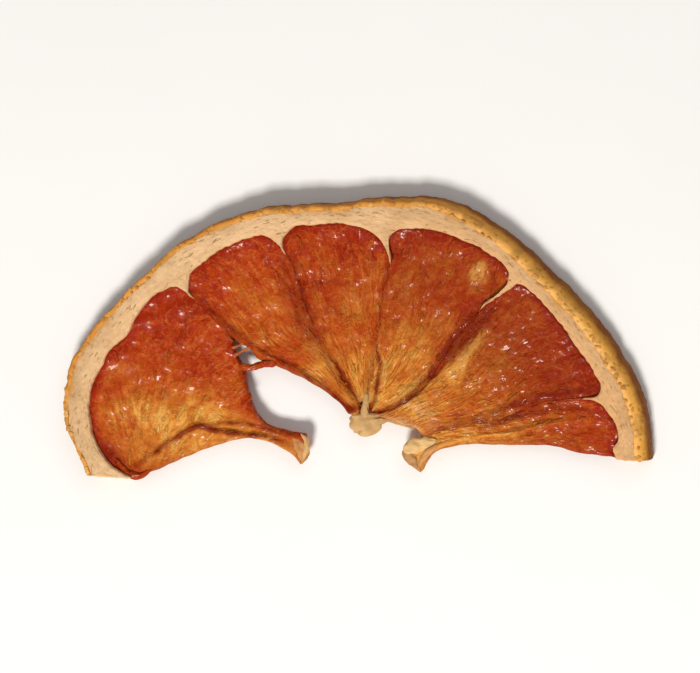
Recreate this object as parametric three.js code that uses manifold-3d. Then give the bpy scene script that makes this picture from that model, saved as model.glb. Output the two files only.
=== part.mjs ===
// A dried half slice of grapefruit: one solid, in millimetres, +Z up, lying on its flat underside.
// The origin is under the middle of the slice's box. The straight cut edge faces -Y and the rind's
// arch +Y. The rind is a thick arched band; six thin, dried segments hang inside it, parted by
// upright skins that meet at the core, where the slice is torn open.

import * as THREE from "three";
import { mergeVertices } from "three/addons/utils/BufferGeometryUtils.js";
import Module from "manifold-3d";

// ---- Driving dimensions, in millimetres and degrees ----

const RIND_HEIGHT = 4.5; // from the face it rests on to the top of the pith
const RIND_WAVE = 0.22; // how far the dried top edge rises and falls
const PEEL_SLANT = 1.6; // how much further out the peel reaches at the bottom than at the top
const PEEL_SHOULDER = 0.4; // rounding between the pith's top and the peel
const PITH_DISH = 0.35; // how far the pith has shrunk below its own outer edge

const BOX_MIDDLE = [0.518, 0.434]; // of the slice, from above, in the coordinates of the outlines below
const FRUIT_CENTRE = [0.5, -23.8]; // the centre of the fruit that the arch was cut from
const ARCH_START = 176; // direction of the rind's left end, seen from that centre
const ARCH_END = 9; // direction of its right end
// The directions in which the spurs of pith between the segments meet the peel, with both ends.
const SPUR_DIRECTIONS = [ARCH_START, 128, 105.5, 83, 51.4, 18.9, ARCH_END];
const SPUR_SHARE = 0.15; // how much of a segment's rim runs along each spur
const ARCH_RADII = [
  // from that centre to the top outer edge, at even steps from the left end to the right
  40.2, 44.9, 46.7, 45.9, 45.3, 45.5, 45.2, 44.4, 43.8, 44.9, 46.0, 45.1, 44.1, 44.0, 44.6, 44.9, 44.1,
];

const FLESH_THICKNESS = 1.5;
const FLESH_MIDDLE = 2.3; // height of the middle of the flesh
const FLESH_SAG = 0.35; // how far it sinks between the rind and the core
const FLESH_WRINKLE = 0.22;

const SKIN_SHARE = 0.045; // half an upright skin's width, as a share of the segment beside it
const SKIN_TOP_AT_RIND = 4.0;
const SKIN_TOP_AT_CORE = 3.5;
const SKIN_FOOT = 0.8;

const CORE_HEIGHT = 3.4;
const CORE_FOOT = 0.9;

// How finely the curved surfaces are cut into faces.
const STEPS_ALONG_SEGMENT = 15;
const STEPS_ACROSS_SEGMENT = 11;
const SIDES_OF_LUMP = 14;

// ---- Outlines, from above ----

// Where the flesh meets the pith, segment by segment, from the left end of the rind to the right.
const RIM_OF_SEGMENTS = [
  [[-32.7, -21.4], [-35.5, -19.9], [-37.9, -16.8], [-39.1, -12.9], [-39, -8.4], [-36, -2.5], [-33.4, 0.2],
    [-31.3, 3.8], [-28.8, 6.2], [-26, 7.4], [-24, 6.5]],
  [[-24, 6.5], [-23.7, 9], [-22.6, 10.4], [-19.5, 12.6], [-16.4, 14.2], [-13, 15.2], [-10.9, 14.4],
    [-9.6, 13.3]],
  [[-9.6, 13.3], [-9.3, 15.1], [-7.8, 16.4], [-3.3, 17], [0.4, 17], [3.2, 16.1], [5.4, 14.3], [6.6, 12.1]],
  [[6.6, 12.1], [6.5, 15.1], [7.9, 16.3], [12, 16.4], [17.5, 14.9], [21.4, 12.9], [24.2, 10.4],
    [23.9, 8.1], [20.8, 5.6]],
  [[20.8, 5.6], [23.1, 6.9], [25.1, 8.5], [27.1, 7.9], [31.2, 3.7], [34.5, -0.7], [37.2, -4.5],
    [37.9, -6.4], [36.8, -8.3], [33.1, -8]],
  [[33.1, -8], [37.2, -8.8], [39, -10.1], [40.4, -12.5], [40.6, -14], [39.9, -15.4], [40.2, -16.8]],
];

// The sides of the segments, from the rind to the core: the cut edge on the left, the skins between
// segments, the first of them torn, and the cut edge on the right.
const SIDES_OF_SEGMENTS = [
  [[-32.7, -21.4], [-29.3, -20.3], [-26, -18.8], [-22, -17.1], [-17.8, -15.7], [-14.2, -15.1],
    [-11.1, -15.7], [-8, -17.8], [-7.1, -18.9]],
  [[-24, 6.5], [-20.3, 3], [-16, -2.5], [-12.6, -7.5], [-8, -11], [-3.5, -13]],
  [[-9.6, 13.3], [-8.3, 10.7], [-6.5, 5.1], [-5, 0.9], [-2.8, -2.5], [0.1, -7.3], [2, -9.8]],
  [[6.6, 12.1], [5.7, 8.1], [4.9, 2.2], [4, -3.1], [2.9, -8.4]],
  [[20.8, 5.6], [19.1, 3.1], [15.8, -0.8], [14.1, -4.2], [9.9, -8.7], [3.7, -11.8]],
  [[33.1, -8], [28.8, -9.1], [23.8, -11.2], [18.3, -12.6], [14.4, -13.4], [11.6, -14.6]],
  [[40.2, -16.8], [34.2, -16.2], [31.2, -15.4], [24.5, -15.4], [17.7, -15.5], [13.3, -16.7], [11.3, -19.6]],
];

// The torn inner ends of the segments, at the core.
const ENDS_OF_SEGMENTS = [
  [[-7.1, -18.9], [-5.4, -16.8], [-3.5, -13]],
  [[-3.5, -13], [0.4, -11.9], [2, -9.8]],
  [[2, -9.8], [2.9, -8.4]],
  [[2.9, -8.4], [3.7, -11.8]],
  [[3.7, -11.8], [6, -11.9], [8.2, -12.7], [10.2, -13.1], [11.6, -14.6]],
  [[11.6, -14.6], [9.2, -15.8], [8.9, -17.3], [11.3, -19.6]],
];

// What is torn out between the first two segments: the long notch that opens at the core, from its
// right lip round to its left one, and beyond a thin strand a small hole.
const NOTCH = [[-13.6, -4.5], [-11.4, -4.1], [-9.4, -4.9], [-6.2, -6.3], [-3.6, -7.8], [-0.8, -9.9],
  [0.2, -11.2], [0.6, -13], [-1, -18], [-5, -18.5], [-5.5, -15.1], [-7.1, -13.9], [-10, -13.9],
  [-12, -13.4], [-13.4, -11.7], [-14.3, -9.5], [-14.9, -7.8], [-15.2, -5.4]];
const HOLE = { at: [-15.9, -2.6], half: [1.1, 1.3] };

// Lumps of the core: where each sits, its half sizes, how far it is turned, and its foot and top.
const CORE_LUMPS = [
  { at: [3.0, -12.7], half: [2.3, 1.35], turned: -12, foot: CORE_FOOT, top: CORE_HEIGHT },
  { at: [2.9, -10.2], half: [0.85, 2.4], turned: 0, foot: CORE_FOOT, top: CORE_HEIGHT - 0.2 },
  { at: [-7.3, -16.7], half: [1.2, 2.2], turned: -14, foot: 1.0, top: 3.5 },
  { at: [10.4, -17.1], half: [1.9, 2.3], turned: -28, foot: 1.0, top: 3.7 },
];

// ---- Curves ----

// A smooth curve through points seen from above: called with 0..1, it gives the point there.
function smooth(points) {
  const spline = new THREE.CatmullRomCurve3(
    points.map(([x, y]) => new THREE.Vector3(x, y, 0)),
    false,
    "centripetal",
  );
  return (t) => {
    const at = spline.getPointAt(THREE.MathUtils.clamp(t, 0, 1));
    return new THREE.Vector2(at.x, at.y);
  };
}

// The top outer edge of the rind, by its direction from the fruit's centre.
function rindEdge(degrees) {
  const place = ((ARCH_START - degrees) / (ARCH_START - ARCH_END)) * (ARCH_RADII.length - 1);
  const first = THREE.MathUtils.clamp(Math.floor(place), 0, ARCH_RADII.length - 2);
  const radiusAt = (i) => ARCH_RADII[THREE.MathUtils.clamp(i, 0, ARCH_RADII.length - 1)];
  const radius = catmullRom(place - first, ...[-1, 0, 1, 2].map((k) => radiusAt(first + k)));
  const turn = THREE.MathUtils.degToRad(degrees);
  return new THREE.Vector2(
    FRUIT_CENTRE[0] + radius * Math.cos(turn),
    FRUIT_CENTRE[1] + radius * Math.sin(turn),
  );
}

function catmullRom(t, before, from, to, after) {
  const a = (3 * from - before - 3 * to + after) / 2;
  const b = (2 * before - 5 * from + 4 * to - after) / 2;
  const c = (to - before) / 2;
  return ((a * t + b) * t + c) * t + from;
}

// Where on the peel the section through a point of a segment's rim starts: straight out from the
// fruit's centre, but along the spurs at the segment's two corners.
function peelOutFrom(rimPoint, number, across) {
  const [from, to] = SPUR_DIRECTIONS.slice(number, number + 2);
  const out = Math.atan2(rimPoint.y - FRUIT_CENTRE[1], rimPoint.x - FRUIT_CENTRE[0]);
  const straight = THREE.MathUtils.clamp(THREE.MathUtils.radToDeg(out), to, from);
  const awayFromSpur = THREE.MathUtils.smoothstep(Math.min(across, 1 - across), 0, SPUR_SHARE);
  return rindEdge(THREE.MathUtils.lerp(across < 0.5 ? from : to, straight, awayFromSpur));
}

// ---- Heights ----

function wrinkle(x, y) {
  const broad = Math.sin(0.55 * x + 0.35 * y) * Math.sin(0.42 * y - 0.3 * x + 1.1);
  const fine = Math.sin(1.5 * x - 0.9 * y + 0.6) * Math.sin(0.8 * x + 1.3 * y);
  return FLESH_WRINKLE * (0.75 * broad + 0.45 * fine);
}

function rindTop(x, y) {
  return RIND_HEIGHT + RIND_WAVE * Math.sin(0.21 * x + 0.13 * y + 0.8);
}

// The upper and lower side of the flesh at a place. Between two segments and along the cut edge,
// where onSkin is true, it thickens to an upright skin.
function fleshSides({ x, y }, along, onSkin) {
  if (onSkin) return [THREE.MathUtils.lerp(SKIN_TOP_AT_RIND, SKIN_TOP_AT_CORE, along), SKIN_FOOT];
  const middle = FLESH_MIDDLE - FLESH_SAG * Math.sin(Math.PI * along) + wrinkle(x, y);
  return [middle + FLESH_THICKNESS / 2, middle - FLESH_THICKNESS / 2];
}

// ---- Solids ----

const wasm = await Module();
wasm.setup();
const { Manifold, Mesh } = wasm;

function solidOf(geometry) {
  return new Manifold(
    new Mesh({
      numProp: 3,
      vertProperties: geometry.getAttribute("position").array,
      triVerts: new Uint32Array(geometry.index.array),
    }),
  );
}

function geometryOf(solid) {
  const mesh = solid.getMesh();
  const geometry = new THREE.BufferGeometry();
  geometry.setAttribute("position", new THREE.BufferAttribute(mesh.vertProperties, 3));
  geometry.setIndex(new THREE.BufferAttribute(mesh.triVerts, 1));
  return geometry;
}

// A solid through closed sections that all have the same number of points, anticlockwise when seen
// against the direction in which the sections follow each other. Each end is closed by the given
// triangles, as indices in a section.
function loft(sections, endTriangles) {
  const sides = sections[0].length;
  const triangles = [];
  for (let i = 0; i + 1 < sections.length; i++) {
    for (let k = 0; k < sides; k++) {
      const here = i * sides + k;
      const beside = i * sides + ((k + 1) % sides);
      triangles.push([here, beside, beside + sides], [here, beside + sides, here + sides]);
    }
  }
  const lastStart = (sections.length - 1) * sides;
  for (const [a, b, c] of endTriangles) {
    triangles.push([c, b, a], [lastStart + a, lastStart + b, lastStart + c]);
  }
  const geometry = new THREE.BufferGeometry().setFromPoints(sections.flat());
  return solidOf(geometry.setIndex(triangles.flat()));
}

// The rind's part of a section: for each point, how far in from the top outer edge it lies, as a
// share of the width and in millimetres, and how high, as a share of the top's height and in
// millimetres.
const RIND_OVER = [
  [0, -0.93 * PEEL_SLANT, 0, 0],
  [0, -PEEL_SLANT, 0.1, 0],
  [0, -0.66 * PEEL_SLANT, 0.5, 0],
  [0, -0.2 * PEEL_SLANT, 0.86, 0],
  [0, PEEL_SHOULDER, 1, 0],
  [0.4, 0, 1, -0.5 * PITH_DISH],
  [0.75, 0, 1, -PITH_DISH],
  [1, -0.35, 1, -1.5 * PITH_DISH],
];
const RIND_UNDER = [
  [1, -0.4, 0, 0.35],
  [0.7, 0, 0, 0],
];

// One section through the slice: over the rind, in along the upper side of the flesh to the core,
// back along its lower side, and under the rind. Across the rind it is straight, and then it
// follows the line placeAt(0..1) through the flesh.
function sliceSection(outer, placeAt, onSkin) {
  const inner = placeAt(0);
  const inwards = inner.clone().sub(outer);
  const width = inwards.length();
  inwards.normalize();
  const top = rindTop(outer.x, outer.y);
  const onRind = ([share, inward, heightShare, height]) => {
    const place = outer.clone().addScaledVector(inwards, share * width + inward);
    return new THREE.Vector3(place.x, place.y, heightShare * top + height);
  };
  const upper = [];
  const lower = [];
  for (let k = 0; k <= STEPS_ALONG_SEGMENT; k++) {
    const along = k / STEPS_ALONG_SEGMENT;
    const { x, y } = placeAt(along);
    const [upperHeight, lowerHeight] = fleshSides({ x, y }, along, onSkin && k > 0);
    upper.push(new THREE.Vector3(x, y, upperHeight));
    lower.unshift(new THREE.Vector3(x, y, lowerHeight));
  }
  return [...RIND_OVER.map(onRind), ...upper, ...lower, ...RIND_UNDER.map(onRind)];
}

// The triangles that close such a section: a strip through the flesh, and the rind's outline,
// which is laid flat to be cut up.
function sliceEndTriangles(section) {
  const upper = (k) => RIND_OVER.length + k;
  const lower = (k) => RIND_OVER.length + 2 * STEPS_ALONG_SEGMENT + 1 - k;
  const triangles = [];
  for (let k = 0; k < STEPS_ALONG_SEGMENT; k++) {
    triangles.push([upper(k), upper(k + 1), lower(k + 1)], [upper(k), lower(k + 1), lower(k)]);
  }
  const outline = [
    ...RIND_OVER.keys(),
    upper(0),
    lower(0),
    ...[...RIND_UNDER.keys()].map((k) => lower(0) + 1 + k),
  ];
  const inner = section[upper(0)];
  const flat = outline.map((index) => {
    const { x, y, z } = section[index];
    return new THREE.Vector2(Math.hypot(x - inner.x, y - inner.y), z);
  });
  const cutUp = THREE.ShapeUtils.triangulateShape(flat, []);
  return [...triangles, ...cutUp.map((triangle) => triangle.map((corner) => outline[corner]))];
}

// The place on one segment: across it from its left side to its right, along it from its rim in the
// pith to its torn end at the core.
function segmentPlaces(number) {
  const rim = smooth(RIM_OF_SEGMENTS[number]);
  const left = smooth(SIDES_OF_SEGMENTS[number]);
  const right = smooth(SIDES_OF_SEGMENTS[number + 1]);
  const end = smooth(ENDS_OF_SEGMENTS[number]);
  return (across, along) =>
    rim(across).multiplyScalar(1 - along)
      .addScaledVector(end(across), along)
      .addScaledVector(left(along), 1 - across)
      .addScaledVector(right(along), across)
      .addScaledVector(rim(0), -(1 - across) * (1 - along))
      .addScaledVector(rim(1), -across * (1 - along))
      .addScaledVector(end(0), -(1 - across) * along)
      .addScaledVector(end(1), -across * along);
}

// The steps across a segment: its left skin, the foot of that skin, the flesh, and the foot of the
// right skin. The right skin itself is the next segment's first step.
function stepsAcross(isLast) {
  const steps = [0];
  for (let k = 0; k <= STEPS_ACROSS_SEGMENT; k++) {
    steps.push(THREE.MathUtils.lerp(SKIN_SHARE, 1 - SKIN_SHARE, k / STEPS_ACROSS_SEGMENT));
  }
  return isLast ? [...steps, 1] : steps;
}

// Rind and flesh together, as if nothing were torn out yet.
function untornSlice() {
  const sections = RIM_OF_SEGMENTS.flatMap((_, number) => {
    const placeOn = segmentPlaces(number);
    return stepsAcross(number === RIM_OF_SEGMENTS.length - 1).map((across) => {
      const outer = peelOutFrom(placeOn(across, 0), number, across);
      return sliceSection(outer, (along) => placeOn(across, along), across === 0 || across === 1);
    });
  });
  return loft(sections, sliceEndTriangles(sections[0]));
}

// An upright cutter of the given outline, through the whole slice.
function cutter(shape) {
  const geometry = new THREE.ExtrudeGeometry(shape, {
    depth: 3 * RIND_HEIGHT,
    bevelEnabled: false,
    curveSegments: 12,
  });
  geometry.translate(0, 0, -RIND_HEIGHT);
  geometry.deleteAttribute("normal");
  geometry.deleteAttribute("uv");
  return solidOf(mergeVertices(geometry));
}

function notch() {
  return cutter(new THREE.Shape(NOTCH.map(([x, y]) => new THREE.Vector2(x, y))));
}

function hole() {
  return cutter(new THREE.Shape().absellipse(...HOLE.at, ...HOLE.half, 0, 2 * Math.PI));
}

// A pebble of core: oval from above, rounded towards its foot and its top.
function coreLump({ at, half, turned, foot, top }) {
  const layers = [
    { share: 0, scale: 0.72 },
    { share: 0.25, scale: 0.96 },
    { share: 0.55, scale: 1 },
    { share: 0.85, scale: 0.86 },
    { share: 1, scale: 0.55 },
  ];
  const sections = layers.map(({ share, scale }) => {
    const section = [];
    for (let k = 0; k < SIDES_OF_LUMP; k++) {
      const turn = (2 * Math.PI * k) / SIDES_OF_LUMP;
      const place = new THREE.Vector2(half[0] * Math.cos(turn), half[1] * Math.sin(turn))
        .multiplyScalar(scale * (1 + 0.07 * Math.sin(3 * turn + 1)))
        .rotateAround(new THREE.Vector2(), THREE.MathUtils.degToRad(turned));
      section.push(new THREE.Vector3(at[0] + place.x, at[1] + place.y, foot + share * (top - foot)));
    }
    return section;
  });
  const flat = sections[0].map(({ x, y }) => new THREE.Vector2(x, y));
  return loft(sections, THREE.ShapeUtils.triangulateShape(flat, []));
}

// ---- The slice ----

function wholeSlice() {
  const torn = untornSlice().subtract(notch()).subtract(hole());
  return CORE_LUMPS.map(coreLump).reduce((whole, lump) => whole.add(lump), torn);
}

const driedFlesh = new THREE.MeshStandardMaterial({ color: 0xc0712f, roughness: 0.45, metalness: 0 });

const slice = new THREE.Mesh(geometryOf(wholeSlice()), driedFlesh);
slice.name = "grapefruit_slice";
slice.position.set(-BOX_MIDDLE[0], -BOX_MIDDLE[1], 0);

const part = new THREE.Group();
part.add(slice);

export default part;
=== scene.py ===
"""The looks of a dried half slice of grapefruit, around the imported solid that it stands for.

The slice lies on its rind's underside, cut edge towards -Y, arch of rind towards +Y. Outlines are in
millimetres, as in the part's own drawing, and become metres when a mesh is made. Visual pieces: the
peel, the pith, six segments of flesh with their juice sacs, the upright skins between the segments,
the core, and the torn tips and strands.
"""

import bpy
import numpy as np
from mathutils import Matrix, Vector


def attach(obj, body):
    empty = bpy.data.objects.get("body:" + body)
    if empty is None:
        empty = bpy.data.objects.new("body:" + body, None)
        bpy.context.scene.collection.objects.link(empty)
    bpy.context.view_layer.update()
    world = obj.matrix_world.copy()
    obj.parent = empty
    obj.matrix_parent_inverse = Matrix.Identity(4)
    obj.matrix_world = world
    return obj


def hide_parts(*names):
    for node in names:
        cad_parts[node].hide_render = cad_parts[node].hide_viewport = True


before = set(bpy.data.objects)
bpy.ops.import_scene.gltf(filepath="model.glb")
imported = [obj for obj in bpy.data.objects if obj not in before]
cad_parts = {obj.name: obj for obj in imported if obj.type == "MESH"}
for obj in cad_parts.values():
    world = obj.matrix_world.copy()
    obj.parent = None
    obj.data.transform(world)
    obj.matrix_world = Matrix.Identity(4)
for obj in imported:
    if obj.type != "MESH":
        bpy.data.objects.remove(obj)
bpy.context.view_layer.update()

SLICE = "grapefruit_slice"
MM = 0.001
CM2_IN_M2 = 1e4
SEED = 7

# ---- Driving dimensions, in millimetres and degrees, as the solid has them ----

RIND_HEIGHT = 4.5
RIND_WAVE = 0.22
PEEL_SLANT = 1.6
PITH_DISH = 0.35
BOX_MIDDLE = np.array([0.518, 0.434])
FRUIT_CENTRE = np.array([0.5, -23.8])
ARCH_START = 176
ARCH_END = 9
# Where the ends and the spurs of pith lie, how much of a segment's rim a spur takes, and how evenly the
# rind's sections are spaced apart from following the rim.
SPUR_DIRECTIONS = [ARCH_START, 128, 105.5, 83, 51.4, 21.5, ARCH_END]
SPUR_SHARE = 0.15
EVEN_SPACING = 0.15
# The rind's outer radius at even steps from its left end to its right.
ARCH_RADII = np.array([
    40.2, 44.9, 46.7, 45.9, 45.3, 45.5, 45.2, 44.4, 43.8, 44.9, 46.0, 45.1, 44.1, 44.0, 44.6, 44.9, 44.1,
])

FLESH_THICKNESS = 1.5
FLESH_MIDDLE = 2.3
FLESH_SAG = 0.35
FLESH_WRINKLE = 0.22

SKIN_TOP_AT_RIND = 4.0
SKIN_FOOT = 0.8

# How finely the surfaces are cut into faces.
RIND_COLUMNS = 130
PAD_COLUMNS = 150
PAD_ROWS = 180
SCRAP_STEPS = 90
SCRAP_SMOOTHING = 8
SCRAP_SIDES = 36
SKIN_STEP = 0.18

# ---- Outlines, from above ----

RIMS = [
    [[-32.7, -21.4], [-35.5, -19.9], [-37.9, -16.8], [-39.1, -12.9], [-39, -8.4], [-36, -2.5],
     [-33.4, 0.2], [-31.3, 3.8], [-28.8, 6.2], [-26, 7.4], [-24, 6.5]],
    [[-24, 6.5], [-23.7, 9], [-22.6, 10.4], [-19.5, 12.6], [-16.4, 14.2], [-13, 15.2], [-10.9, 14.4],
     [-9.6, 13.3]],
    [[-9.6, 13.3], [-9.3, 15.1], [-7.8, 16.4], [-3.3, 17], [0.4, 17], [3.2, 16.1], [5.4, 14.3],
     [6.6, 12.1]],
    [[6.6, 12.1], [6.5, 15.1], [7.9, 16.3], [12, 16.4], [17.5, 14.9], [21.4, 12.9], [24.2, 10.4],
     [23.9, 8.1], [20.8, 5.6]],
    [[20.8, 5.6], [23.1, 6.9], [25.1, 8.5], [27.1, 7.9], [31.2, 3.7], [34.5, -0.7], [37.2, -4.5],
     [37.9, -6.4], [37.5, -7.6], [36.2, -8.1]],
    [[36.2, -8.1], [38, -8.9], [39, -10.1], [40.4, -12.5], [40.6, -14], [39.9, -15.4], [40.2, -16.8]],
]

# The lines on which the upright skins stand, from the rind to the core. The first one is torn away
# where the notch begins.
SKIN_LINES = [
    [[-24, 6.5], [-20.3, 3], [-17.4, -0.6]],
    [[-9.6, 13.3], [-8.3, 10.7], [-6.5, 5.1], [-5, 0.9], [-2.8, -2.5], [0.1, -7.3], [2, -9.8]],
    [[6.6, 12.1], [5.7, 8.1], [4.9, 2.2], [4, -3.1], [2.9, -8.4]],
    [[20.8, 5.6], [19.1, 3.1], [15.8, -0.8], [14.1, -4.2], [9.9, -8.7], [3.7, -11.8]],
    [[36.2, -8.1], [33.1, -8.3], [28.8, -9.1], [23.8, -11.2], [18.3, -12.6], [14.4, -13.4], [11.6, -14.6]],
]
CUT_EDGE_LEFT = [[-32.7, -21.4], [-29.3, -20.3], [-26, -18.8], [-22, -17.1], [-17.8, -15.7],
                 [-14.2, -15.1], [-11.1, -15.7], [-8, -17.8], [-7.1, -18.9]]
CUT_EDGE_RIGHT = [[40.2, -16.8], [34.2, -16.2], [31.2, -15.4], [24.5, -15.4], [17.7, -15.5],
                  [13.3, -16.7], [11.3, -19.6]]
# The lips of the notch that is torn out between the first two segments.
LIP_LEFT = [*SKIN_LINES[0], [-17.0, -2.4], [-15.7, -4.7], [-15.0, -7.8], [-13.6, -11.7], [-11.9, -13.5],
            [-8.2, -14.0], [-6.2, -14.3]]
LIP_RIGHT = [*SKIN_LINES[0][:2], [-17.0, -0.1], [-14.9, -1.9], [-13.4, -3.4], [-11.4, -4.1],
             [-9.4, -4.9], [-6.2, -6.3], [-3.6, -7.8], [-0.8, -9.9], [0.2, -11.2]]

# Each segment's left side and right side, and its inner end between them.
LEFT_SIDES = [CUT_EDGE_LEFT, LIP_RIGHT, *SKIN_LINES[1:]]
RIGHT_SIDES = [LIP_LEFT, *SKIN_LINES[1:], CUT_EDGE_RIGHT]
BETWEEN_SIDES = [[[-5.9, -17]], [[1.8, -11.6]], [], [], [[6, -11.9], [8.2, -12.7], [10.2, -13.1]],
                 [[9.2, -15.8], [8.9, -17.3]]]
ENDS = [[left[-1], *way, right[-1]] for left, way, right in zip(LEFT_SIDES, BETWEEN_SIDES, RIGHT_SIDES)]

# How golden the flesh is, from 0, deep red, to 1, at the rim, halfway and at the core: along the left
# side of each segment and along its right side.
GOLD = [
    [[0.45, 0.95, 0.95], [0.05, 0.15, 0.45]],
    [[0.15, 0.42, 0.9], [0.05, 0.6, 0.85]],
    [[0.1, 0.45, 0.95], [0.1, 0.5, 0.85]],
    [[0.1, 0.55, 0.95], [0.35, 0.45, 0.85]],
    [[0.3, 0.65, 0.8], [0.15, 0.45, 0.75]],
    [[0.15, 0.5, 0.95], [0.2, 0.65, 1.0]],
]
# How much of each segment is covered with juice sacs that stand proud, and how much darker its rim is.
SAC_COVER = [0.75, 0.35, 0.6, 0.95, 0.95, 0.8]
RIM_SHADE = [0.05, 0.0, 0.15, 0.38, 0.48, 0.2]

# Folds, rolled edges and creases of each segment's flesh: their line, half their width, how far they
# rise, and how much darker, more golden or paler they are. The darkening is painted shade where a crease
# or slot sinks, and the deeper red of the membrane where a rolled edge rises.
FOLDS = [[
    dict(line=[[-32.3, -19.9], [-29, -17.4], [-25.5, -14.9], [-23, -13.6], [-19.5, -14.2], [-15.5, -14.6],
        [-11.8, -15], [-8.5, -16.2]], wide=0.45, rise=0.55, dark=0.95),
    dict(line=[[-22.3, -13.4], [-18, -13], [-14.3, -13.2], [-10.5, -14.3], [-7.5, -14.8]], wide=0.35,
        rise=0.3, dark=0.6),
    dict(line=[[-35.5, -11.5], [-29, -12.2], [-23, -10.8], [-15.5, -11.8]], wide=2.8, rise=0.1, gold=0.4),
    dict(line=[[-37.6, -15.9], [-35.5, -18.2], [-33.5, -20]], wide=0.8, rise=-0.2, dark=0.6),
    dict(line=[[-16.6, -3.6], [-15.6, -7.2], [-14.3, -11.4], [-12.6, -13.6]], wide=0.35, rise=0.25,
        dark=0.35),
], [
    dict(line=[[-23.4, 6.6], [-20.3, 3.5], [-16.5, 0.3], [-13, -2], [-8, -4.5], [-4.3, -6.9], [-1, -9.4],
        [1, -11]], wide=0.5, rise=0.45, dark=0.55),
    dict(line=[[-9.9, 11.6], [-8.9, 8.1], [-7.6, 4.2], [-5.6, 0.4], [-3.4, -2.4]], wide=1.2, rise=-0.15,
        dark=0.6),
    dict(line=[[-4, -3], [-1.6, -6.8], [0.6, -10.1]], wide=0.5, rise=0.35),
    dict(line=[[-1.6, -8.8], [0.2, -10.3], [1.8, -10.4]], wide=0.6, rise=-0.1, dark=1.0, gold=-0.5),
], [
    dict(line=[[-8.4, 12], [-7.4, 8.1], [-6.2, 4.6], [-4.2, 0.7]], wide=1.0, rise=-0.15, dark=0.5),
    dict(line=[[-2.5, -2.7], [-0.5, -5.7], [1.6, -9.2]], wide=0.55, rise=-0.3, dark=0.8),
    dict(line=[[-7.8, 8.4], [-3.1, 8.4], [1.6, 8.1]], wide=0.4, rise=-0.06, dark=0.3),
    dict(line=[[-4.3, 4.4], [-0.5, 3.6], [3.4, 3.5]], wide=0.4, rise=-0.06, dark=0.3),
], [
    dict(line=[[4.3, -1.3], [5, -3.6], [4.6, -6.6], [4, -10.1]], wide=0.35, rise=-0.3, dark=0.8),
    dict(line=[[5.2, -1.7], [5.8, -4.3], [5.5, -7.7], [4.3, -10.3]], wide=0.35, rise=0.35, gold=0.3),
    dict(line=[[20.4, 5.6], [17, 1.6], [15, -1.2], [13.4, -4], [9.4, -8.4], [5, -11]], wide=0.75, rise=-0.3,
        dark=0.85),
    dict(line=[[12.6, -4.2], [9.8, -6.9], [6.6, -9.4]], wide=0.45, rise=0.45, gold=0.6),
    dict(line=[[3.3, -9.4], [3.8, -11], [5.8, -11.1]], wide=0.5, rise=-0.15, dark=1.0, gold=-0.5),
    dict(line=[[20.3, 12.2], [20, 10.4], [19.4, 8.5]], wide=1.4, rise=0.45, gold=1.15, cream=0.03),
    dict(line=[[21.3, 10.9], [22, 9.7], [22, 8.5]], wide=0.35, rise=0.3, dark=0.35),
], [
    dict(line=[[5.2, -11.7], [8.5, -12.3], [11.4, -13.8]], wide=0.7, rise=0.15, cream=0.6),
    dict(line=[[9.8, -9.4], [11.6, -10.4], [12.8, -12.8]], wide=0.8, rise=0.2, cream=0.35),
    dict(line=[[21.6, 4.7], [19.9, 3], [17.5, 0.3], [15.6, -2.3]], wide=1.0, rise=-0.2, dark=0.7),
    dict(line=[[20.3, 1.5], [18, -1.9], [16.2, -5.4]], wide=0.9, rise=0.2, gold=0.65),
    dict(line=[[37, -6.9], [28.1, -8.3], [20.5, -11.2], [13.4, -12.9]], wide=0.6, rise=0.2, dark=0.5),
], [
    dict(line=[[39.3, -11.5], [32.8, -11.5], [25.2, -13.3], [16.3, -14.7], [11, -16.9]], wide=0.4,
        rise=0.35, gold=0.1),
    dict(line=[[38.5, -10.8], [34, -9.4], [28, -10.4], [20, -12.9]], wide=0.5, rise=-0.15, dark=0.5),
]]

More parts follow.
